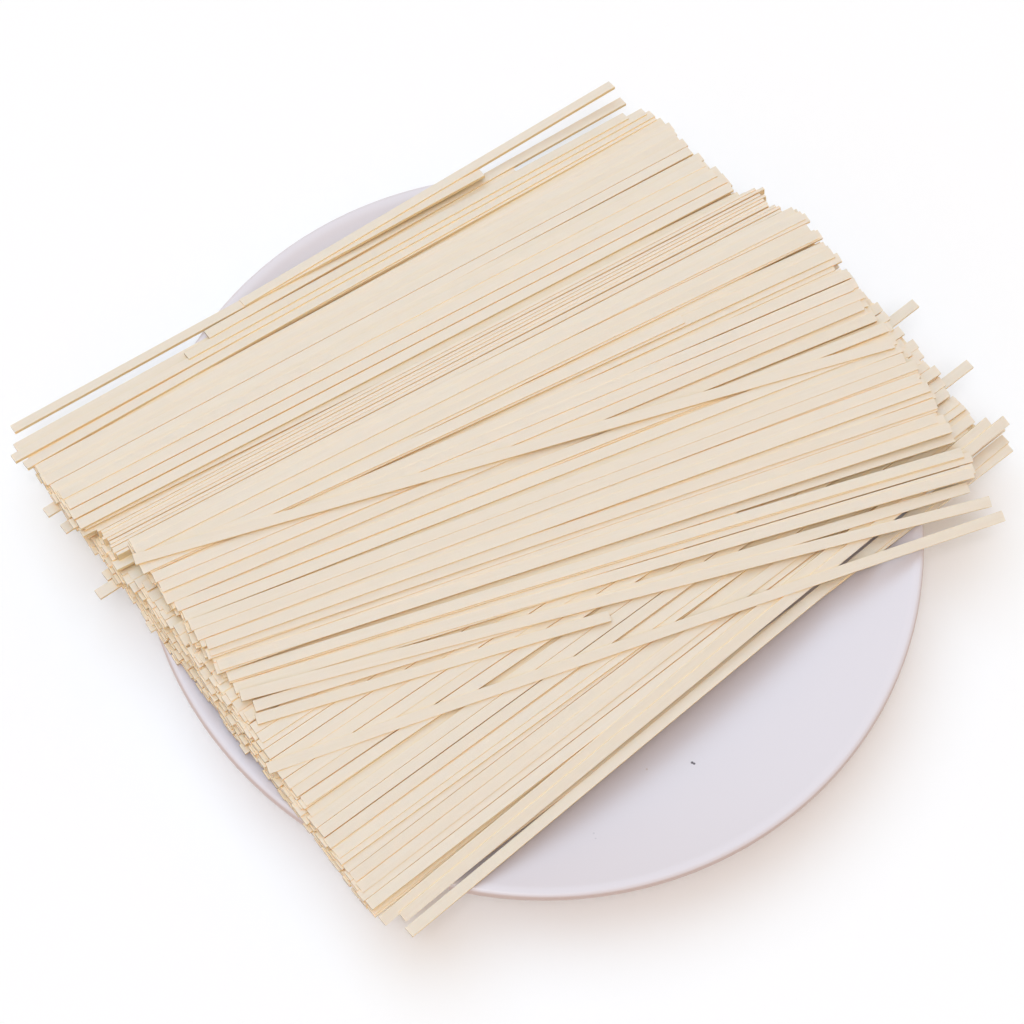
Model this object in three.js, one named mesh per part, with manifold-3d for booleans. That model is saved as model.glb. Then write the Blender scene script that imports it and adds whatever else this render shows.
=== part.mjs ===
// A loose heap of dried flat wheat noodles on a plain white coupe plate.
// Millimetres, +Z up. The plate's foot stands on the ground and the noodles lie along X.
import * as THREE from 'three';
import { mergeVertices } from 'three/addons/utils/BufferGeometryUtils.js';
import Module from 'manifold-3d';

// The plate: a thin coupe that rises smoothly from the middle to the rim, on a foot ring
const PLATE_RADIUS = 120;
const PLATE_HEIGHT = 24;
const PLATE_DEPTH = 16;
const PLATE_CURVE = 2.6;
const PLATE_WALL = 4.4;
const LIP_OUT = 1.6;
const LIP_DROP = 1.8;
const FOOT_RADIUS = 68;
const FOOT_WIDTH = 5;
const FOOT_HEIGHT = 2.6;
const FOOT_DRAFT = 1;
const PLATE_SIDES = 64;
const PLATE_STEPS = 14;

// One noodle: a flat strip cut square at both ends
const NOODLE_LENGTH = 238;
const NOODLE_WIDTH = 3.4;
const NOODLE_THICKNESS = 1.1;
const LENGTH_SPREAD = 2.5;
const WIDTH_SPREAD = 0.12;
const THICKNESS_SPREAD = 0.06;

// The heap's outline across the plate, and the line that the left ends keep to
const CROWN_HEIGHT = 47;
const CROWN_Y = 20;
const EDGE_HEIGHT = 25.5;
const HEAP_FRONT = -92;
const HEAP_BACK = 104;
const END_LINE_X = -113.5;
const END_LINE_SKEW = -0.1;
const END_SPREAD = 1.8;
const TURN_SPREAD = 0.22;

// A course is one layer of noodles laid side by side
const COURSE_PITCH = 3.62;
const PITCH_LESS = 0.25;
const PITCH_MORE = 0.45;
const LOWER_COURSES = 20;
const BACK_COURSES = 6;
const BED_COURSES = 3;
const TOP_COURSES = 8;
const SHINGLES = 9;
const SHINGLE_PITCH = 2;
const SHINGLE_TURN = -1.5;
const SHINGLE_TURN_SPREAD = 0.1;
const SHINGLE_END_SPREAD = 1;

// The sheaves: where their left ends lie across the heap, their turn in degrees by that place,
// how far the left ends stand past the line, and how high they reach
const LOWER_SHEAF = {
  front: -82,
  back: 90,
  turns: [[-90, 8.3], [-30, 4.2], [90, 3]],
  top: (y) => crown(y) - between(TOP_SHEAF_DEPTHS, y),
};
const LOWER_OVERHANGS = [[0, 3], [LOWER_COURSES, -2]];
const BACK_SHEAF = {
  front: 62,
  back: 94,
  turns: [[60, -1.2], [94, 1.8]],
  overhang: 4,
  top: (y) => crown(y) + 0.8,
};
const BED = {
  front: 46,
  back: 64,
  turns: [[46, -1.5], [64, -1.5]],
  overhang: 2,
  top: (y) => crown(y) - 2.2,
};
const TOP_SHEAF = {
  front: -12,
  back: 46,
  turns: [[-12, -10.2], [17, -8], [31, -5.8], [46, -1.5]],
  overhang: 1.5,
  top: (y) => crown(y) + 0.8,
};
const TOP_SHEAF_DEPTHS = [[-46, 0], [4, 8.5], [HEAP_BACK, 8.5]];

// How a noodle settles: it may roll about its length, lying flat is easier, and it gives a little
const FLAT_ROLLS = [0, 0.06, -0.06, 0.12, -0.12, 0.2, -0.2, 0.3, -0.3];
const LEANING_ROLLS = [...FLAT_ROLLS, 0.42, -0.42, 0.56, -0.56, 0.72, -0.72];
const ROLL_COST = 0.35;
const SWAY_SHARE = 0.4;
const STEEPEST = 0.2;
const SETTLING_STEPS = 24;
const GIVE = 0.3;
const SEED = 11;

// The height map that the noodles are laid on
const CELL_X = 3;
const CELL_Y = 0.4;
const MAP_X = -153;
const MAP_Y = -123.6;
const COLUMNS = 104;
const ROWS = 619;
const PLATE_GAP = 0.7;
const EMPTY = -100;

// Single noodles that stand out of the heap: left end x and y, then right end x and y
const LOW_STRAYS = [
  [-128.7, 44.3, 106.5, 78],
  [-124, 48.5, 112, 79],
  [-127.4, 68.4, 108, 92],
  [-129.4, 76, 107, 95],
  [-92, -13, 145.5, 0.2],
  [-88, -58, 148, -26.4],
  [-92, -82, 144, -49.5],
  [-94, -84, 142, -55],
];
const FRONT_STRAYS = [
  [-106.5, -84.5, 128.5, -46.4],
  [-100, -86.3, 135.8, -54.4],
  [-102.5, -92.6, 132.6, -55.4],
];
const BACK_STRAYS = [
  [-127.7, 91.4, 109.8, 102],
  [-129.7, 95.5, 108, 104],
  [-127.1, 99.5, 59.1, 106.1],
  [-66.8, 100, 101.7, 105.6],
  [-57.6, 103.6, 104.7, 111.7],
  [-124.6, 106.6, 47.9, 109.4],
  [-42.4, 107.9, 102.7, 116.3],
];
const TOP_STRAYS = [
  [-112.5, -33, 126, -75],
  [-108, -15.5, 128, -67.5],
  [-110, -20.5, -4, -44.5],
  [-116, 38, 69, 26.5],
  [-110, 37.5, 123, -10.5],
];

// The fused solid: a core under the noodles that show
const CORE_COLUMNS = 10;
const CORE_ROWS = 18;
const CORE_SINK = 0.5;
const CORE_LEAST = 1;
const CORE_LEFT = -104;
const CORE_RIGHT = 104;
const CORE_FRONT = [-80, -50];
const CORE_BACK = [86, 96];
const FUSE_DEPTH = 1.4;
const NODE_GAP = 0.3;
const SHOWN_SHARE = 0.05;
const SIMPLIFY = 0.02;

const NOODLE_COLOUR = 0xeee2cd;
const NOODLE_ROUGHNESS = 0.75;
const PLATE_COLOUR = 0xe4dfe4;
const PLATE_ROUGHNESS = 0.25;

const mix = (a, b, t) => THREE.MathUtils.lerp(a, b, THREE.MathUtils.clamp(t, 0, 1));

// The next number of a fixed row of scattered ones, between two limits
let seed = SEED;
function draw(low, high) {
  seed = (seed * 16807) % 2147483647;
  return low + (high - low) * seed / 2147483647;
}

// Height of the plate's upper face at a distance from its middle
function plateTop(radius) {
  return PLATE_HEIGHT - PLATE_DEPTH * (1 - (radius / PLATE_RADIUS) ** PLATE_CURVE);
}

function plateGeometry() {
  const profile = [];
  const add = (radius, height) => profile.push(new THREE.Vector2(radius, height));
  const footOut = FOOT_RADIUS + FOOT_WIDTH;
  add(0, FOOT_HEIGHT);
  add(FOOT_RADIUS - FOOT_DRAFT, FOOT_HEIGHT);
  add(FOOT_RADIUS, 0);
  add(footOut, 0);
  for (let k = 0; k <= PLATE_STEPS / 2; k += 1) {
    const radius = mix(footOut + FOOT_DRAFT, PLATE_RADIUS, 2 * k / PLATE_STEPS);
    add(radius, plateTop(radius) - PLATE_WALL);
  }
  add(PLATE_RADIUS + LIP_OUT, PLATE_HEIGHT - LIP_DROP);
  for (let k = PLATE_STEPS; k >= 0; k -= 1) {
    const radius = PLATE_RADIUS * Math.sqrt(k / PLATE_STEPS);
    add(radius, plateTop(radius));
  }
  const geometry = new THREE.LatheGeometry(profile, PLATE_SIDES);
  geometry.rotateX(Math.PI / 2);
  return geometry;
}

// By cell: the plate's highest point, the heap's top, the noodle on top and the heap's underside
const plateMap = new Float64Array(COLUMNS * ROWS);
const height = new Float64Array(COLUMNS * ROWS);
const owner = new Int32Array(COLUMNS * ROWS).fill(-1);
const underside = new Float64Array(COLUMNS * ROWS).fill(-EMPTY);
const pile = [];

function clearMap() {
  for (let i = 0; i < COLUMNS; i += 1) {
    for (let j = 0; j < ROWS; j += 1) {
      const inner = Math.hypot(MAP_X + i * CELL_X, MAP_Y + j * CELL_Y) - CELL_X / 2;
      const outer = Math.min(inner + CELL_X, PLATE_RADIUS);
      plateMap[i * ROWS + j] = inner <= PLATE_RADIUS ? plateTop(outer) : EMPTY;
      height[i * ROWS + j] = inner <= PLATE_RADIUS ? plateTop(outer) + PLATE_GAP : EMPTY;
    }
  }
}

// Visits the cells under a noodle: the step along it, both distances from its middle, and the cell
function eachCell(noodle, visit) {
  const slant = Math.tan(noodle.angle);
  const reach = noodle.length / 2 * Math.cos(noodle.angle);
  const half = noodle.width / 2 / Math.cos(noodle.angle) / Math.hypot(1, noodle.roll);
  const first = Math.ceil((noodle.x - reach - MAP_X) / CELL_X);
  const last = Math.floor((noodle.x + reach - MAP_X) / CELL_X);
  for (let i = first; i <= last; i += 1) {
    const along = MAP_X + i * CELL_X - noodle.x;
    const middle = noodle.y + slant * along;
    const front = Math.max(Math.ceil((middle - half - MAP_Y) / CELL_Y), 0);
    const back = Math.min(Math.floor((middle + half - MAP_Y) / CELL_Y), ROWS - 1);
    for (let j = front; j <= back; j += 1) {
      visit(i - first, along, MAP_Y + j * CELL_Y - middle, i * ROWS + j);
    }
  }
}

// Lowest height of a noodle's middle at one roll, over all the slopes that clear what lies below
function settle(noodle, roll) {
  const supports = [];
  eachCell({ ...noodle, roll }, (step, along, across, cell) => {
    if (height[cell] === EMPTY) return;
    const top = height[cell] - roll * across;
    if (!supports[step] || top > supports[step].top) supports[step] = { along, top };
  });
  const held = supports.filter(Boolean);
  const lift = (slope) => held.reduce((most, { along, top }) => Math.max(most, top - slope * along), EMPTY);
  let low = -STEEPEST;
  let high = STEEPEST;
  for (let k = 0; k < SETTLING_STEPS; k += 1) {
    const third = (high - low) / 3;
    if (lift(low + third) < lift(high - third)) high -= third;
    else low += third;
  }
  const slope = (low + high) / 2;
  return { roll, slope, z: lift(slope) - GIVE };
}

// The pose in which a noodle comes to rest
function rest(noodle, rolls = FLAT_ROLLS, rollCost = ROLL_COST) {
  let best = null;
  for (const roll of rolls) {
    const pose = settle(noodle, roll);
    pose.cost = pose.z + rollCost * Math.abs(roll);
    if (!best || pose.cost < best.cost) best = pose;
  }
  return { ...noodle, ...best };
}

// Puts a noodle on the heap and into the maps
function lay(noodle) {
  const rise = noodle.thickness * Math.hypot(1, noodle.slope, noodle.roll);
  const number = pile.push(noodle) - 1;
  eachCell(noodle, (step, along, across, cell) => {
    const bottom = noodle.z + noodle.slope * along + noodle.roll * across;
    noodle.clearance = Math.min(noodle.clearance, bottom - plateMap[cell]);
    underside[cell] = Math.min(underside[cell], bottom);
    if (bottom + rise > height[cell]) {
      height[cell] = bottom + rise;
      owner[cell] = number;
    }
  });
}

// A noodle from its left end, turned by some degrees from X
function noodleAt(x, y, degrees, length = NOODLE_LENGTH + draw(-LENGTH_SPREAD, LENGTH_SPREAD)) {
  const angle = THREE.MathUtils.degToRad(degrees);
  return {
    x: x + Math.cos(angle) * length / 2,
    y: y + Math.sin(angle) * length / 2,
    angle,
    length,
    width: NOODLE_WIDTH + draw(-WIDTH_SPREAD, WIDTH_SPREAD),
    thickness: NOODLE_THICKNESS + draw(-THICKNESS_SPREAD, THICKNESS_SPREAD),
    roll: 0,
    clearance: -EMPTY,
  };
}

function layStrays(strays) {
  for (const [x0, y0, x1, y1] of strays) {
    const degrees = THREE.MathUtils.radToDeg(Math.atan2(y1 - y0, x1 - x0));
    const noodle = noodleAt(x0, y0, degrees, Math.hypot(x1 - x0, y1 - y0));
    lay({ ...rest(noodle), stray: true });
  }
}

// Highest that the heap stands at a place across it
function crown(y) {
  const reach = y < CROWN_Y ? CROWN_Y - HEAP_FRONT : HEAP_BACK - CROWN_Y;
  const share = Math.min(Math.abs(y - CROWN_Y) / reach, 1);
  return mix(EDGE_HEIGHT, CROWN_HEIGHT, Math.cos(share * Math.PI / 2) ** 2);
}

// Mean of a height across the heap, over the stretch that a noodle covers
function meanOver(noodle, heightAt) {
  const sway = Math.sin(noodle.angle) * noodle.length * SWAY_SHARE;
  return (heightAt(noodle.y - sway) + heightAt(noodle.y) + heightAt(noodle.y + sway)) / 3;
}

// A value read between the entries of a table of places and values
function between(table, place) {
  const found = table.findIndex(([end]) => end >= place);
  const k = found < 0 ? table.length - 1 : Math.max(found, 1);
  const [[start, first], [end, last]] = table.slice(k - 1, k + 1);
  return mix(first, last, (place - start) / (end - start));
}

// One course from back to front; a noodle that would stand above the sheaf's top is left out
function layCourse({ front, back, turns, overhang, top }) {
  let y = back - draw(0, COURSE_PITCH);
  while (y > front) {
    const x = END_LINE_X + END_LINE_SKEW * y - overhang + draw(-END_SPREAD, END_SPREAD);
    const noodle = rest(noodleAt(x, y, between(turns, y) + draw(-TURN_SPREAD, TURN_SPREAD)));
    if (noodle.z + noodle.thickness < meanOver(noodle, top)) lay(noodle);
    y -= COURSE_PITCH + draw(-PITCH_LESS, PITCH_MORE);
  }
}

// The noodles between the back and the top sheaf, each leaning on the one before
function layShingles() {
  for (let k = 0; k < SHINGLES; k += 1) {
    const end = END_LINE_X + END_LINE_SKEW * BED.back - BED.overhang;
    const x = end + draw(-SHINGLE_END_SPREAD, SHINGLE_END_SPREAD);
    const turn = SHINGLE_TURN + draw(-SHINGLE_TURN_SPREAD, SHINGLE_TURN_SPREAD);
    lay(rest(noodleAt(x, BED.back - SHINGLE_PITCH * k, turn), LEANING_ROLLS, 0));
  }
}

function layHeap() {
  clearMap();
  layStrays(LOW_STRAYS);
  for (let k = 0; k < LOWER_COURSES; k += 1) {
    layCourse({ ...LOWER_SHEAF, overhang: between(LOWER_OVERHANGS, k) });
  }
  for (let k = 0; k < BACK_COURSES; k += 1) layCourse(BACK_SHEAF);
  for (let k = 0; k < BED_COURSES; k += 1) layCourse(BED);
  layShingles();
  for (let k = 0; k < TOP_COURSES; k += 1) layCourse(TOP_SHEAF);
  layStrays(FRONT_STRAYS);
  layStrays(BACK_STRAYS);
  layStrays(TOP_STRAYS);
}

// A noodle as a plain strip, let a little into what it lies on
function stripGeometry(noodle) {
  const { angle, slope, roll, length, width, thickness } = noodle;
  const along = new THREE.Vector3(Math.cos(angle), Math.sin(angle), slope * Math.cos(angle)).normalize();
  const tilt = roll / Math.cos(angle) - slope * Math.sin(angle);
  const across = new THREE.Vector3(-Math.sin(angle), Math.cos(angle), tilt);
  const up = along.clone().cross(across).normalize();
  across.crossVectors(up, along);
  const place = new THREE.Matrix4().makeBasis(along, across, up);
  place.setPosition(noodle.x, noodle.y, noodle.z);
  const depth = Math.min(FUSE_DEPTH, noodle.clearance - NODE_GAP);
  const geometry = new THREE.BoxGeometry(length, width, thickness + depth);
  geometry.translate(0, 0, (thickness - depth) / 2);
  return geometry.applyMatrix4(place);
}

// Least or greatest of a map over the cells around a place, between the core's two ends
function around(map, x, y, reachX, reachY, pick, start) {
  let value = start;
  const i0 = Math.round((Math.max(x - reachX, CORE_LEFT) - MAP_X) / CELL_X);
  const i1 = Math.round((Math.min(x + reachX, CORE_RIGHT) - MAP_X) / CELL_X);
  const j0 = Math.max(Math.round((y - reachY - MAP_Y) / CELL_Y), 0);
  const j1 = Math.min(Math.round((y + reachY - MAP_Y) / CELL_Y), ROWS - 1);
  for (let i = i0; i <= i1; i += 1) {
    for (let j = j0; j <= j1; j += 1) value = pick(value, map[i * ROWS + j]);
  }
  return value;
}

// The core fills the heap up to just below the noodles that show
function coreGeometry() {
  const geometry = new THREE.BoxGeometry(1, 1, 1, CORE_COLUMNS, CORE_ROWS, 1);
  const position = geometry.getAttribute('position');
  const reachX = (CORE_RIGHT - CORE_LEFT) / CORE_COLUMNS / 2;
  const reachY = (CORE_BACK[0] - CORE_FRONT[0]) / CORE_ROWS / 2;
  for (let k = 0; k < position.count; k += 1) {
    const s = position.getX(k) + 0.5;
    const x = mix(CORE_LEFT, CORE_RIGHT, s);
    const front = mix(CORE_FRONT[0], CORE_FRONT[1], s);
    const back = mix(CORE_BACK[0], CORE_BACK[1], s);
    const y = mix(front, back, position.getY(k) + 0.5);
    const lowest = around(underside, x, y, reachX, reachY, Math.min, -EMPTY) + CORE_SINK;
    const plate = around(plateMap, x, y, 2 * reachX, 2 * reachY, Math.max, EMPTY);
    const bottom = Math.max(lowest, plate + NODE_GAP);
    const shown = around(height, x, y, reachX, reachY, Math.min, -EMPTY) - NOODLE_THICKNESS;
    const top = Math.max(shown - CORE_SINK, bottom + CORE_LEAST);
    position.setXYZ(k, x, y, position.getZ(k) > 0 ? top : bottom);
  }
  return geometry;
}

const wasm = await Module();
wasm.setup();

function solidOf(geometry) {
  const bare = geometry.clone();
  bare.deleteAttribute('normal');
  bare.deleteAttribute('uv');
  const merged = mergeVertices(bare);
  return new wasm.Manifold(new wasm.Mesh({
    numProp: 3,
    vertProperties: new Float32Array(merged.getAttribute('position').array),
    triVerts: new Uint32Array(merged.index.array),
  }));
}

// The largest closed shell of a solid: this fills sealed hollows and drops loose scraps
function mainShell(solid) {
  const shells = solid.decompose();
  return shells.reduce((most, shell) => (shell.volume() > most.volume() ? shell : most));
}

function heapGeometry() {
  const cells = new Array(pile.length).fill(0);
  for (const number of owner) {
    if (number >= 0) cells[number] += 1;
  }
  const shown = pile.filter((noodle, number) => {
    const all = noodle.length * noodle.width / CELL_X / CELL_Y;
    return noodle.stray || cells[number] / all > SHOWN_SHARE;
  });
  const solids = [solidOf(coreGeometry()), ...shown.map((noodle) => solidOf(stripGeometry(noodle)))];
  const fused = mainShell(wasm.Manifold.union(solids).simplify(SIMPLIFY));
  const { vertProperties, triVerts } = fused.getMesh();
  const geometry = new THREE.BufferGeometry();
  geometry.setAttribute('position', new THREE.BufferAttribute(vertProperties, 3));
  geometry.setIndex(new THREE.BufferAttribute(triVerts, 1));
  geometry.computeVertexNormals();
  return geometry;
}

function addPiece(group, name, geometry, color, roughness) {
  const material = new THREE.MeshStandardMaterial({ color, roughness, metalness: 0 });
  const mesh = new THREE.Mesh(geometry, material);
  mesh.name = name;
  group.add(mesh);
}

layHeap();
const model = new THREE.Group();
addPiece(model, 'plate', plateGeometry(), PLATE_COLOUR, PLATE_ROUGHNESS);
addPiece(model, 'noodle_heap', heapGeometry(), NOODLE_COLOUR, NOODLE_ROUGHNESS);

// The origin is under the middle of the whole, on the ground
const middle = new THREE.Box3().setFromObject(model).getCenter(new THREE.Vector3());
model.position.set(-middle.x, -middle.y, 0);

export default model;
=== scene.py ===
import math
import bmesh
import bpy
import numpy as np
from mathutils import Matrix, Vector


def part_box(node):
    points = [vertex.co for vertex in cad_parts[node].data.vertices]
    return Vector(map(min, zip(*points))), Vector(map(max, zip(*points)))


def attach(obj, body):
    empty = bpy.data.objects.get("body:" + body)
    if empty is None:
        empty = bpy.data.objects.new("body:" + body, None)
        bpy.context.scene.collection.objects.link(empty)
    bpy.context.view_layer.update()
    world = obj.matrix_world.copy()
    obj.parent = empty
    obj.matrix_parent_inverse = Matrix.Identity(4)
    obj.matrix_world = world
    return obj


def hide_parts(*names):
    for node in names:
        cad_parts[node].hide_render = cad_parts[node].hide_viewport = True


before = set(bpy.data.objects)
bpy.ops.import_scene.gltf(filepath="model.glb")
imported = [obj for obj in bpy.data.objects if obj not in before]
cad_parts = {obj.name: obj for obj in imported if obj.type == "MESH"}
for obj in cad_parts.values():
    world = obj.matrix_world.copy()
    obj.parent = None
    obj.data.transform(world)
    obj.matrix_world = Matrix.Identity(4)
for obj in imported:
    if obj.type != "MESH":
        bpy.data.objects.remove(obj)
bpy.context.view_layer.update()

# Plate: a thin coupe plate of white stoneware under a smooth clear glaze, turned in one piece.
# It rises smoothly from the middle to a thin rounded lip and stands on a low foot ring.
# Sizes here and below are in millimetres, and turns are in degrees.
PLATE_RADIUS = 120
PLATE_HEIGHT = 24
PLATE_DEPTH = 16
PLATE_CURVE = 2.6
PLATE_WALL = 4.4
LIP_OUT = 1.6
FOOT_RADIUS = 68
FOOT_WIDTH = 5
FOOT_HEIGHT = 2.6
FOOT_ROUND = 1.2
FOOT_INSIDE = 2.5
FOOT_OUTSIDE = 1.5
PLATE_TURN_STEPS = 192
MM = 0.001
plate_low, plate_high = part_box("plate")
plate_middle = Vector(((plate_low[0] + plate_high[0]) / 2, (plate_low[1] + plate_high[1]) / 2, 0))


def plate_top(radius):
    """Height of the plate's upper face at a distance from its middle."""
    return PLATE_HEIGHT - PLATE_DEPTH * (1 - (radius / PLATE_RADIUS) ** PLATE_CURVE)


def linear(colour):
    """A hex colour as the linear red, green, blue and alpha that a shader takes."""
    parts = [int(colour[k:k + 2], 16) / 255 for k in (1, 3, 5)]
    return [p / 12.92 if p <= 0.04045 else ((p + 0.055) / 1.055) ** 2.4 for p in parts] + [1]


def add_node(material, kind, settings=None, inputs=None):
    """A shader node with its settings, and its inputs set to values or linked to other nodes' outputs."""
    node = material.node_tree.nodes.new("ShaderNode" + kind)
    for name, value in (settings or {}).items():
        setattr(node, name, value)
    for name, value in (inputs or {}).items():
        if isinstance(value, bpy.types.NodeSocket):
            material.node_tree.links.new(value, node.inputs[name])
        else:
            node.inputs[name].default_value = value
    return node


def new_material(name, shader):
    """A material whose surface is one shader with these inputs, and that shader, for nodes still to link."""
    material = bpy.data.materials.new(name)
    material.use_nodes = True
    bsdf = material.node_tree.nodes["Principled BSDF"]
    for key, value in shader.items():
        bsdf.inputs[key].default_value = value
    return material, bsdf


def new_object(name, mesh, material):
    """An object of this mesh and material, at the origin."""
    thing = bpy.data.objects.new(name, mesh)
    bpy.context.scene.collection.objects.link(thing)
    mesh.materials.append(material)
    return thing


# The profile runs from the middle of the underside, over the foot and the lip, to the middle of the top.
profile = [(0, FOOT_HEIGHT), (FOOT_RADIUS - FOOT_INSIDE, FOOT_HEIGHT)]
foot_middle = FOOT_RADIUS + FOOT_WIDTH / 2
for k in range(7):
    turn = math.pi * k / 6
    profile.append((
        foot_middle - FOOT_WIDTH / 2 * math.cos(turn),
        FOOT_ROUND - FOOT_ROUND * math.sin(turn) ** 0.5,
    ))
wall_start = FOOT_RADIUS + FOOT_WIDTH + FOOT_OUTSIDE
for k in range(13):
    radius = wall_start + (PLATE_RADIUS - wall_start) * k / 12
    profile.append((radius, plate_top(radius) - PLATE_WALL))
for k in range(1, 8):
    turn = math.pi * k / 8
    profile.append((
        PLATE_RADIUS + LIP_OUT * math.sin(turn),
        PLATE_HEIGHT - PLATE_WALL / 2 * (1 + math.cos(turn)),
    ))
for k in range(25):
    radius = PLATE_RADIUS * math.sqrt(1 - k / 24)
    profile.append((radius, plate_top(radius)))
shape = bmesh.new()
points = [shape.verts.new(Vector((r, 0, z)) * MM + plate_middle) for r, z in profile]
edges = [shape.edges.new(pair) for pair in zip(points, points[1:])]
bmesh.ops.spin(
    shape, geom=points + edges, cent=plate_middle, axis=(0, 0, 1),
    angle=2 * math.pi, steps=PLATE_TURN_STEPS, use_merge=True,
)
bmesh.ops.remove_doubles(shape, verts=shape.verts, dist=1e-6)
bmesh.ops.recalc_face_normals(shape, faces=shape.faces)
for face in shape.faces:
    face.smooth = True
plate_mesh = bpy.data.meshes.new("plate_glazed")
shape.to_mesh(plate_mesh)
shape.free()

# White stoneware with a smooth, faintly lavender glaze.
# The outermost turn of the lip is painted darker and warmer, as painted shade on the lip's rounded outer
# side.
glaze, glaze_bsdf = new_material("white_glazed_stoneware", {
    "Roughness": 0.28, "IOR": 1.5, "Specular IOR Level": 0.4,
})
from_middle = add_node(glaze, "VectorMath", {"operation": "SUBTRACT"}, {
    0: add_node(glaze, "TexCoord").outputs["Object"], 1: plate_middle,
})
flat = add_node(glaze, "VectorMath", {"operation": "MULTIPLY"}, {
    0: from_middle.outputs["Vector"], 1: (1, 1, 0),
})
distance_out = add_node(glaze, "VectorMath", {"operation": "LENGTH"}, {0: flat.outputs["Vector"]})
painted_lip_shade = add_node(glaze, "MapRange", inputs={
    "Value": distance_out.outputs["Value"],
    "From Min": (PLATE_RADIUS + LIP_OUT * 0.5) * MM, "From Max": (PLATE_RADIUS + LIP_OUT * 0.8) * MM,
})
glaze_colour = add_node(glaze, "Mix", {"data_type": "RGBA"}, {
    "Factor": painted_lip_shade.outputs["Result"], "A": linear("#dfd9de"), "B": linear("#c9b6b2"),
})
# A few specks lie on the glaze in front of the heap: one dark and curved, of two dots, the others faint.
# Each has its place on the plate, its radius and its shade.
SPECKS = [
    (-0.2, -90.1, 0.55, "#5c5257"), (0.1, -90.7, 0.5, "#5c5257"), (-12.9, -84.6, 0.4, "#d0c3bd"),
    (-38.4, -93.9, 0.4, "#cfcad0"), (-38.9, -95.6, 0.35, "#cfcad0"),
]
for x, y, radius, shade in SPECKS:
    away = add_node(glaze, "VectorMath", {"operation": "DISTANCE"}, {
        0: from_middle.outputs["Vector"], 1: Vector((x, y, plate_top(math.hypot(x, y)))) * MM,
    })
    spot = add_node(glaze, "MapRange", inputs={
        "Value": away.outputs["Value"], "From Min": radius * MM, "From Max": radius * MM * 0.5,
    })
    glaze_colour = add_node(glaze, "Mix", {"data_type": "RGBA"}, {
        "Factor": spot.outputs["Result"], "A": glaze_colour.outputs["Result"], "B": linear(shade),
    })
glaze.node_tree.links.new(glaze_colour.outputs["Result"], glaze_bsdf.inputs["Base Color"])
plate = new_object("plate_glazed", plate_mesh, glaze)
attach(plate, "root")
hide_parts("plate")

# Noodles: flat strips of wheat dough, rolled, slit and dried straight, then cut square to one length.
# They are laid a few at a time from the bottom up, as the heap was put down, and come to rest on those below:
# a lower sheaf, a flat back sheaf, a packet that stands on edge, a top sheaf that fans out, and strays.
NOODLE_LENGTH = 238
NOODLE_LENGTHS = [(-90, 246), (-20, 240), (40, 238), (100, 235)]
NOODLE_WIDTH = 3.4
NOODLE_THICKNESS = 1.1
LENGTH_SPREAD = 1.6
THICKNESS_SPREAD = 0.02
CROWN_HEIGHT = 47
CROWN_Y = 20
EDGE_HEIGHT = 25.5
HEAP_FRONT = -92
HEAP_BACK = 104
END_LINE_X = -113.5
END_LINE_SKEW = -0.1
END_SPREAD = 0.6
END_JITTER = 0.35
TURN_SPREAD = 0.35
SEAM_PITCH = 3.55
SEAM_LEAST = 0.08
WIDEST_SEAM = 0.75
WIDEST_GAP = 1
SHEET_MOST = 6
SINGLES = 1.2
CROWN_SLACK = 0.8
LOWER_COURSES = 23
LOWER_SPAN = (-82, 90)
LOWER_TURNS = [(-90, 8.3), (-30, 4.2), (10, 2.2), (45, 0), (66, 0), (90, 2.8)]
LOWER_OVERHANG = 2.5
LOWER_SET_BACK = 5.5
TOP_SHEAF_DEPTHS = [(-46, 0), (4, 8.5), (28, 8.5), (44, 10.5), (HEAP_BACK, 9)]
BACK_COURSES = 12
BACK_SPAN = (63.5, 94)
BACK_TURNS = [(60, -1.2), (94, 2.4)]
BACK_OVERHANG = 3
BACK_SEAM = 0.6
BACK_LEAST = 0.27
BED_COURSES = 2
BED_SPAN = (46, 64)
BED_TURNS = [(46, -1.5), (64, -1.5)]
BED_OVERHANG = 1
BED_DEPTH = 5
PACKET_COUNT = 10
PACKET_Y = 53.4
PACKET_TURN = -1
PACKET_OVERHANG = 0.5
PACKET_PITCH = 1.4
PACKET_SEAM = 0.4
PACKET_LEAST = 0.1
PACKET_ROLL = -0.25
TOP_COURSES = 6
TOP_FRONT = -10
TOP_BACK = 49.5
TOP_STEP_BACK = 4
TOP_TURNS = [(-10, -13.5), (0, -11.2), (17, -8), (31, -5.8), (46, -1.5)]
TOP_OVERHANG = -3.5
TOP_SHEET_MOST = 4
TOP_SEED = 57
FLAT_ROLLS = [0, 0.06, -0.06, 0.12, -0.12, 0.2, -0.2, 0.3, -0.3]
ROLL_COST = 0.35
BENDS = [1, 2, 3, 4, 5, 6, 7]
BEND_COST = 0.1
SWAY_SHARE = 0.4
STEEPEST = 0.2
SETTLING_STEPS = 24
SHEET_GIVE = 0.65
STRAY_GIVE = 0.6
CELL_X = 3
CELL_Y = 0.4
MAP_X = -153
MAP_Y = -123.6
COLUMNS = 104
ROWS = 619
PLATE_GAP = 0.7
EMPTY = -100
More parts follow.
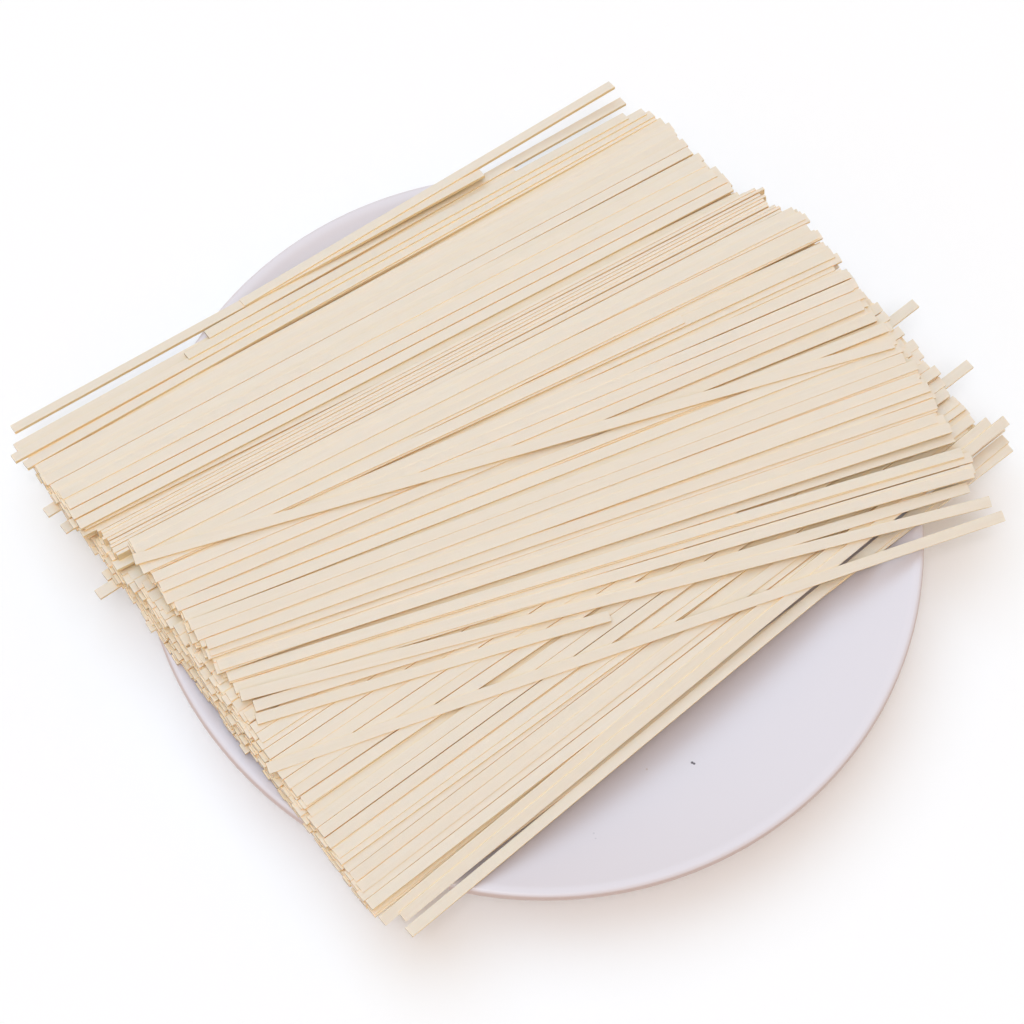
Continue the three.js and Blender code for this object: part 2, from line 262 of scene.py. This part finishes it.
# Strays run from their left end to their right one, as X, Y, X, Y.
LOW_STRAYS = [
    (-128.7, 44.3, 108.3, 65),
    (-124, 48.5, 113, 69.2),
    (-127.4, 68.4, 108, 92),
    (-129.4, 76, 107, 95),
    (-92, -33, 145.5, 0.2),
    (-88, -58, 148, -26.4),
    (-92, -82, 144, -49.5),
    (-94, -86, 142, -56.5),
]
FRONT_STRAYS = [
    (-107.1, -85.9, 138.6, -47.4),
    (-101.5, -87.9, 143.8, -49.7),
    (-102, -92.7, 142.3, -53.6),
]
BACK_STRAYS = [
    (-127.7, 91.4, 109.8, 102),
    (-129.7, 95.5, 108, 104),
    (-127.1, 99.5, 59.1, 106.1),
    (-66.8, 100, 101.7, 105.6),
    (-57.6, 103.6, 104.7, 111.7),
    (-124.6, 106.6, 47.9, 109.4),
    (-42.4, 107.9, 102.7, 116.3),
]
TOP_STRAYS = [
    (-113.5, -31.9, 125.7, -75.2),
    (-107.7, -14, 120.5, -62.4),
    (-109.8, -9.6, 124.1, -69.6),
    (-109, -17.3, -1.6, -42.5),
    (-116, 38, 69, 26.5),
    (-116.5, 41.5, 123, -13),
]
seed = 42


def draw(low, high):
    """The next number of a fixed row of scattered ones, between two limits."""
    global seed
    seed = seed * 16807 % 2147483647
    return low + (high - low) * seed / 2147483647


def crown(y):
    """Highest that the heap stands at a place across it."""
    reach = CROWN_Y - HEAP_FRONT if y < CROWN_Y else HEAP_BACK - CROWN_Y
    share = min(abs(y - CROWN_Y) / reach, 1)
    return EDGE_HEIGHT + (CROWN_HEIGHT - EDGE_HEIGHT) * math.cos(share * math.pi / 2) ** 2


def between(table, place):
    """The value at a place, from a table of places and values."""
    return float(np.interp(place, [row[0] for row in table], [row[1] for row in table]))


# The height map holds the top of the heap so far, at first that of the plate.
column_x = MAP_X + np.arange(COLUMNS) * CELL_X
row_y = MAP_Y + np.arange(ROWS) * CELL_Y
inner = np.hypot(column_x[:, None], row_y[None, :]) - CELL_X / 2
plate_tops = plate_top(np.clip(inner + CELL_X, 0, PLATE_RADIUS)) + PLATE_GAP
height = np.where(inner <= PLATE_RADIUS, plate_tops, EMPTY)
pile = []


def cells_under(noodle, roll):
    """The map's cells under a noodle: columns, rows, which count, and their distances along and across it."""
    angle = noodle["angle"]
    reach = noodle["length"] / 2 * math.cos(angle)
    half = noodle["width"] / 2 / math.cos(angle) / math.hypot(1, roll)
    first = math.ceil((noodle["x"] - reach - MAP_X) / CELL_X)
    last = math.floor((noodle["x"] + reach - MAP_X) / CELL_X)
    columns = np.arange(first, last + 1)
    along = MAP_X + columns * CELL_X - noodle["x"]
    middle = noodle["y"] + math.tan(angle) * along
    front = np.maximum(np.ceil((middle - half - MAP_Y) / CELL_Y), 0).astype(int)
    back = np.minimum(np.floor((middle + half - MAP_Y) / CELL_Y), ROWS - 1).astype(int)
    rows = front[:, None] + np.arange((back - front).max() + 1)
    counted = rows <= back[:, None]
    rows = np.minimum(rows, ROWS - 1)
    across = MAP_Y + rows * CELL_Y - middle[:, None]
    return columns[:, None], rows, counted, along, across


def settle(noodle, roll, bend):
    """Lowest height of a noodle's middle that clears the heap at one roll and bend, and its slope there."""
    columns, rows, counted, along, across = cells_under(noodle, roll)
    tops = height[columns, rows]
    tops = np.where(counted & (tops > EMPTY), tops - roll * across, 10 * EMPTY).max(axis=1)
    held = tops > 5 * EMPTY
    tops, along = tops[held] + bend * (2 * along[held] / noodle["length"]) ** 2, along[held]
    low, high = -STEEPEST, STEEPEST
    for _ in range(SETTLING_STEPS):
        third = (high - low) / 3
        if (tops - (low + third) * along).max() < (tops - (high - third) * along).max():
            high -= third
        else:
            low += third
    slope = (low + high) / 2
    return (tops - slope * along).max() - noodle["give"], slope


def rest(noodle, rolls=FLAT_ROLLS, bends=BENDS):
    """Puts a noodle into the pose in which it comes to rest: its roll first, then how far its ends sag."""
    best = None
    for roll in rolls:
        z, slope = settle(noodle, roll, 0)
        if best is None or z + ROLL_COST * abs(roll) < best:
            best = z + ROLL_COST * abs(roll)
            noodle.update(z=z, slope=slope, roll=roll, bend=0)
    best = noodle["z"]
    for bend in bends:
        z, slope = settle(noodle, noodle["roll"], bend)
        # The mean height of a noodle whose ends sag is lower than its middle by a third of the sag.
        mean = z - bend / 3 + BEND_COST * bend
        if mean < best:
            best = mean
            noodle.update(z=z, slope=slope, bend=bend)
    return noodle


def lay(noodle):
    """Puts a noodle on the heap and into the map."""
    columns, rows, counted, along, across = cells_under(noodle, noodle["roll"])
    rise = noodle["thickness"] * math.sqrt(1 + noodle["slope"] ** 2 + noodle["roll"] ** 2)
    drop = noodle["bend"] * (2 * along[:, None] / noodle["length"]) ** 2
    tops = noodle["z"] + noodle["slope"] * along[:, None] + noodle["roll"] * across + rise - drop
    tops = np.where(counted, tops, EMPTY)
    np.maximum.at(height, (np.broadcast_to(columns, rows.shape), rows), tops)
    pile.append(noodle)


def sheet_at(x, y, degrees, count, length=NOODLE_LENGTH, give=SHEET_GIVE):
    """Some noodles side by side, from the left end of their middle, turned by some degrees from X."""
    angle = math.radians(degrees)
    return {
        "x": x + math.cos(angle) * length / 2,
        "y": y + math.sin(angle) * length / 2,
        "angle": angle,
        "length": length,
        "width": count * SEAM_PITCH,
        "thickness": NOODLE_THICKNESS,
        "wide": NOODLE_WIDTH,
        "seam": WIDEST_SEAM,
        "least": SEAM_LEAST,
        "count": count,
        "give": give,
    }


def lay_strays(strays, bends=()):
    """Single noodles, each from end to end; without bends they stay straight."""
    for x0, y0, x1, y1 in strays:
        degrees = math.degrees(math.atan2(y1 - y0, x1 - x0))
        lay(rest(sheet_at(x0, y0, degrees, 1, math.hypot(x1 - x0, y1 - y0), STRAY_GIVE), bends=bends))


def lay_course(front, back, turns, overhang, top, widest=SHEET_MOST):
    """A layer from back to front, a few noodles at a time, without those that would stand above the top."""
    y = back - draw(0, NOODLE_WIDTH)
    while y > front:
        x = END_LINE_X + END_LINE_SKEW * y - overhang + draw(-END_SPREAD, END_SPREAD)
        spread = draw(-TURN_SPREAD, TURN_SPREAD)
        most = 1 + int(min(draw(0, 1) ** SINGLES * widest, (y - front) / SEAM_PITCH))
        for count in (most, 1):
            middle = y - count * SEAM_PITCH / 2
            turn = between(turns, middle) + spread
            sheet = rest(sheet_at(x, middle, turn, count, between(NOODLE_LENGTHS, y)))
            sway = math.sin(sheet["angle"]) * sheet["length"] * SWAY_SHARE
            limit = sum(top(sheet["y"] + k * sway) for k in (-1, 0, 1)) / 3
            if sheet["z"] + sheet["thickness"] < limit:
                lay(sheet)
                break
        y -= count * SEAM_PITCH + draw(0, 1) ** 2 * WIDEST_GAP


lay_strays(LOW_STRAYS)
for course in range(LOWER_COURSES):
    lay_course(
        *LOWER_SPAN, LOWER_TURNS, LOWER_OVERHANG - LOWER_SET_BACK * course / LOWER_COURSES,
        lambda y: crown(y) - between(TOP_SHEAF_DEPTHS, y),
    )
lay_strays(FRONT_STRAYS)
below_back = len(pile)
for course in range(BACK_COURSES):
    lay_course(*BACK_SPAN, BACK_TURNS, BACK_OVERHANG, lambda y: crown(y) + CROWN_SLACK)
for sheet in pile[below_back:]:
    sheet.update(seam=BACK_SEAM, least=BACK_LEAST)
for course in range(BED_COURSES):
    lay_course(*BED_SPAN, BED_TURNS, BED_OVERHANG, lambda y: crown(y) - BED_DEPTH)
# The packet lies along the front of the back sheaf, with its noodles on edge.
packet_x = END_LINE_X + END_LINE_SKEW * PACKET_Y - PACKET_OVERHANG
packet = sheet_at(packet_x, PACKET_Y, PACKET_TURN, PACKET_COUNT)
packet.update(width=PACKET_COUNT * PACKET_PITCH, thickness=NOODLE_WIDTH, wide=NOODLE_THICKNESS)
packet.update(seam=PACKET_SEAM, least=PACKET_LEAST)
lay(rest(packet, [PACKET_ROLL]))
# The top sheaf has its own row of draws, one with which it lies close on the heap.
seed = TOP_SEED
for course in range(TOP_COURSES):
    lay_course(
        TOP_FRONT + TOP_STEP_BACK * course, TOP_BACK, TOP_TURNS, TOP_OVERHANG,
        lambda y: crown(y) + CROWN_SLACK, TOP_SHEET_MOST,
    )
lay_strays(BACK_STRAYS)
lay_strays(TOP_STRAYS, BENDS)

# Each noodle is a strip with slightly softened edges and a slight twist, and a single one has a slight bow.
# Its section has three points round each corner, and its narrow faces are marked as edges.
EDGE_ROUND = 0.08
RINGS = 7
BOW = 0.1
TWIST = 0.004
LOOSE_LIFT = 0.45
LOOSE_TILT = 0.25
GRAIN_STEP = 7.3
scatter = np.random.default_rng(5)
corner = [math.pi / 2 * (q + k / 2) for q in range(4) for k in range(3)]
corner_across = np.array([1, 1, 1, -1, -1, -1, -1, -1, -1, 1, 1, 1])
corner_up = np.array([1, 1, 1, 1, 1, 1, -1, -1, -1, -1, -1, -1])
corner_edge = np.array([1, 0.2, 0, 0, 0.2, 1, 1, 0.2, 0, 0, 0.2, 1])
SIDES = len(corner)
vertices, grains, tints = [], [], []
for sheet in pile:
    angle, slope, roll = sheet["angle"], sheet["slope"], sheet["roll"]
    along = Vector((math.cos(angle), math.sin(angle), slope * math.cos(angle))).normalized()
    across = Vector((-math.sin(angle), math.cos(angle), roll / math.cos(angle) - slope * math.sin(angle)))
    up = along.cross(across).normalized()
    across = up.cross(along)
    along, across, up = (np.array(v) for v in (along, across, up))
    alone = sheet["count"] == 1
    loose = 0 if alone else scatter.uniform(0.2, 1) * LOOSE_LIFT
    # Seams open a little toward one end or the other, each as a thin wedge.
    seams = np.zeros((sheet["count"], 2))
    for k in range(1, sheet["count"]):
        seams[k, scatter.integers(2)] = scatter.uniform(0, 1) ** 2 * sheet["seam"]
    offsets = np.cumsum(seams + sheet["wide"] + sheet["least"], axis=0)
    offsets -= offsets.mean()
    for k in range(sheet["count"]):
        length = sheet["length"] + (0 if alone else scatter.uniform(-LENGTH_SPREAD, LENGTH_SPREAD))
        thickness = sheet["thickness"] + scatter.uniform(-THICKNESS_SPREAD, THICKNESS_SPREAD)
        shift = (length - sheet["length"]) / 2 + (0 if alone else scatter.normal(0, END_JITTER))
        bow, twist, tint = scatter.uniform(-BOW, BOW), scatter.uniform(-TWIST, TWIST), scatter.uniform(0, 1)
        lift, tilt = scatter.uniform(0, loose), scatter.uniform(-loose, loose) * LOOSE_TILT
        place = np.array((sheet["x"], sheet["y"], sheet["z"])) + along * shift + up * (thickness / 2 + lift)
        section_across = corner_across * (sheet["wide"] / 2 - EDGE_ROUND) + EDGE_ROUND * np.cos(corner)
        section_up = corner_up * (thickness / 2 - EDGE_ROUND) + EDGE_ROUND * np.sin(corner)
        for step in np.linspace(-1, 1, RINGS):
            turn = twist * step + tilt
            out = section_across * math.cos(turn) - section_up * math.sin(turn)
            out = out + offsets[k].mean() + step * (offsets[k, 1] - offsets[k, 0]) / 2
            out = out + bow * (step * step - 0.5) * alone
            rise = section_across * math.sin(turn) + section_up * math.cos(turn) - sheet["bend"] * step * step
            vertices.append(place + along * step * length / 2 + out[:, None] * across + rise[:, None] * up)
            distance = np.full(SIDES, step * length / 2)
            own_grain = GRAIN_STEP * len(vertices) // RINGS
            grains.append(np.stack([distance, section_across, section_up + own_grain], axis=1))
            tints.append(np.full(SIDES, tint))
noodle_count = len(vertices) // RINGS
ring_faces, ring_edges = [], []
for ring in range(RINGS - 1):
    for side in range(SIDES):
        here, there = ring * SIDES + side, ring * SIDES + (side + 1) % SIDES
        ring_faces.append((here, there, there + SIDES, here + SIDES))
        ring_edges.append(corner_edge[[side, (side + 1) % SIDES, (side + 1) % SIDES, side]])
caps = np.array([range(SIDES - 1, -1, -1), range((RINGS - 1) * SIDES, RINGS * SIDES)])
starts = np.arange(noodle_count)[:, None, None] * RINGS * SIDES
noodle_mesh = bpy.data.meshes.new("noodles")
noodle_mesh.from_pydata(
    (np.concatenate(vertices) * MM + np.array(plate_middle)).tolist(), [],
    (starts + np.array(ring_faces)).reshape(-1, 4).tolist() + (starts + caps).reshape(-1, SIDES).tolist(),
)
grain = noodle_mesh.attributes.new("grain", "FLOAT_VECTOR", "POINT")
grain.data.foreach_set("vector", np.concatenate(grains).ravel())
tint = noodle_mesh.attributes.new("tint", "FLOAT", "POINT")
tint.data.foreach_set("value", np.concatenate(tints))
edge = noodle_mesh.attributes.new("edge", "FLOAT", "CORNER")
edge.data.foreach_set("value", np.concatenate([
    np.tile(np.array(ring_edges).ravel(), noodle_count), np.zeros(noodle_count * caps.size),
]))
cut = noodle_mesh.attributes.new("cut", "FLOAT", "CORNER")
cut.data.foreach_set("value", np.concatenate([
    np.zeros(noodle_count * np.array(ring_edges).size), np.ones(noodle_count * caps.size),
]))

# Dried wheat dough: pale cream, matte and slightly translucent, with fine streaks along it from the rollers.
# Each noodle has its own shade of cream. Its slit edges are painted more golden and its cut ends greyer, as
# painted shade: a golden glow of light through the dough in the gaps, and shade on the ends.
dough, dough_bsdf = new_material("dried_wheat_dough", {
    "Roughness": 0.62, "IOR": 1.45, "Specular IOR Level": 0.25,
    "Subsurface Weight": 0.6, "Subsurface Radius": (1.0, 0.62, 0.3), "Subsurface Scale": 0.0011,
})
dough_bsdf.subsurface_method = "BURLEY"
grain_node = add_node(dough, "Attribute", {"attribute_name": "grain"})
tint_node = add_node(dough, "Attribute", {"attribute_name": "tint"})
# The streaks are about half a millimetre across and 20 mm long.
streak_place = add_node(dough, "Mapping", inputs={
    "Vector": grain_node.outputs["Vector"], "Scale": (0.03, 1.1, 1.1),
})
streaks = add_node(dough, "TexNoise", inputs={
    "Vector": streak_place.outputs["Vector"], "Scale": 1.6, "Detail": 4.0,
})
cream = add_node(dough, "Mix", {"data_type": "RGBA"}, {
    "Factor": tint_node.outputs["Fac"], "A": linear("#e7dfd2"), "B": linear("#e4dbcc"),
})
streaked = add_node(dough, "Mix", {"data_type": "RGBA"}, {
    "Factor": streaks.outputs["Fac"], "A": linear("#e2d6c3"), "B": cream.outputs["Result"],
})
# Painted shade: the narrow slit faces take a golden colour, for light that comes through the dough into the
# gaps between noodles.
edge_node = add_node(dough, "Attribute", {"attribute_name": "edge"})
golden_edge_shade = add_node(dough, "Mix", {"data_type": "RGBA"}, {
    "Factor": edge_node.outputs["Fac"], "A": streaked.outputs["Result"], "B": linear("#e2cca2"),
})
# Painted shade: light that gets down between noodles has come through them, so the colour turns golden where
# the noodles close round a point, the deepest gaps most of all.
openness = add_node(dough, "AmbientOcclusion", {"samples": 8, "only_local": True}, {"Distance": 0.004})
depth = add_node(dough, "MapRange", inputs={
    "Value": openness.outputs["AO"], "From Min": 0.85, "From Max": 0.35, "To Min": 0.0, "To Max": 1.0,
})
painted_gap_shade = add_node(dough, "Mix", {"data_type": "RGBA"}, {
    "Factor": depth.outputs["Result"], "A": golden_edge_shade.outputs["Result"], "B": linear("#e6d4b2"),
})
pit = add_node(dough, "MapRange", inputs={
    "Value": openness.outputs["AO"], "From Min": 0.3, "From Max": 0.05, "To Min": 0.0, "To Max": 1.0,
})
painted_pit_shade = add_node(dough, "Mix", {"data_type": "RGBA"}, {
    "Factor": pit.outputs["Result"], "A": painted_gap_shade.outputs["Result"], "B": linear("#e8c58c"),
})
# Painted shade: the cut ends are painted greyer, for the shade on the heap's end faces.
cut_node = add_node(dough, "Attribute", {"attribute_name": "cut"})
shaded_ends = add_node(dough, "Mix", {"data_type": "RGBA"}, {
    "Factor": cut_node.outputs["Fac"], "A": painted_pit_shade.outputs["Result"], "B": linear("#c3b7aa"),
})
dough.node_tree.links.new(shaded_ends.outputs["Result"], dough_bsdf.inputs["Base Color"])
# A fine grain, about half a millimetre across, takes the smoothness off the faces.
grains_fine = add_node(dough, "TexNoise", inputs={
    "Vector": grain_node.outputs["Vector"], "Scale": 2.2, "Detail": 3.0,
})
bump = add_node(dough, "Bump", inputs={
    "Height": grains_fine.outputs["Fac"], "Strength": 0.25, "Distance": 0.00012,
})
dough.node_tree.links.new(bump.outputs["Normal"], dough_bsdf.inputs["Normal"])
noodles = new_object("noodles", noodle_mesh, dough)
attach(noodles, "root")
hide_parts("noodle_heap")

# Floor, light and camera: a plain white table under a soft studio light from above and behind.
# The table reaches 40 m each way, so that low views don't show its edge.
FLOOR_REACH = 40
floor_mesh = bpy.data.meshes.new("floor")
shape = bmesh.new()
bmesh.ops.create_grid(shape, x_segments=1, y_segments=1, size=FLOOR_REACH)
shape.to_mesh(floor_mesh)
shape.free()
# Matte white paper, which takes shadows without a shine.
paper, _ = new_material("white_paper_backdrop", {"Base Color": linear("#fbfbfb"), "Roughness": 0.9})
floor = new_object("floor", floor_mesh, paper)

# Warm light comes from all round, and cooler light from the key and the fill: together they are white,
# and where only the warm light reaches, shadows turn golden.
world = bpy.data.worlds.new("studio")
world.use_nodes = True
world.node_tree.nodes["Background"].inputs["Color"].default_value = (1, 0.73, 0.47, 1)
world.node_tree.nodes["Background"].inputs["Strength"].default_value = 0.53
bpy.context.scene.world = world


def add_light(name, place, spread, strength, colour):
    """A wide, soft light, as even over the table as over the heap, from the direction of a place."""
    light = bpy.data.lights.new(name, "SUN")
    light.color = colour
    light.angle = math.radians(spread)
    light.energy = strength
    lamp = bpy.data.objects.new(name, light)
    lamp.location = place
    lamp.rotation_euler = (-Vector(place)).to_track_quat("-Z", "Y").to_euler()
    bpy.context.scene.collection.objects.link(lamp)


add_light("key", (-0.1, 0.55, 1.15), 59, 1.17, (0.65, 1, 1.33))
add_light("fill", (-0.32, -0.3, 1.15), 26, 1.05, (0.96, 1, 1.1))

# The camera's place was found from the outline of the plate's rim.
FIELD = 22
SENSOR = 36
AZIMUTH = -41
ELEVATION = 66.342
CAMERA_ROLL = 9.788
DISTANCE = 814.34
AIM = (-5.986, 4.506, 24)
aim = plate_middle + Vector(AIM) * MM
azimuth, elevation, turn = (math.radians(v) for v in (AZIMUTH, ELEVATION, CAMERA_ROLL))
backward = Vector((
    math.sin(azimuth) * math.cos(elevation), -math.cos(azimuth) * math.cos(elevation), math.sin(elevation),
))
level = Vector((math.cos(azimuth), math.sin(azimuth), 0))
upright = backward.cross(level)
right = level * math.cos(turn) + upright * math.sin(turn)
upward = upright * math.cos(turn) - level * math.sin(turn)
lens = bpy.data.cameras.new("camera")
lens.sensor_width = SENSOR
lens.lens = SENSOR / 2 / math.tan(math.radians(FIELD / 2))
camera = bpy.data.objects.new("camera", lens)
camera.matrix_world = Matrix((right, upward, backward)).transposed().to_4x4()
camera.location = aim + backward * DISTANCE * MM
bpy.context.scene.collection.objects.link(camera)
bpy.context.scene.camera = camera
bpy.context.scene.view_settings.view_transform = "Standard"
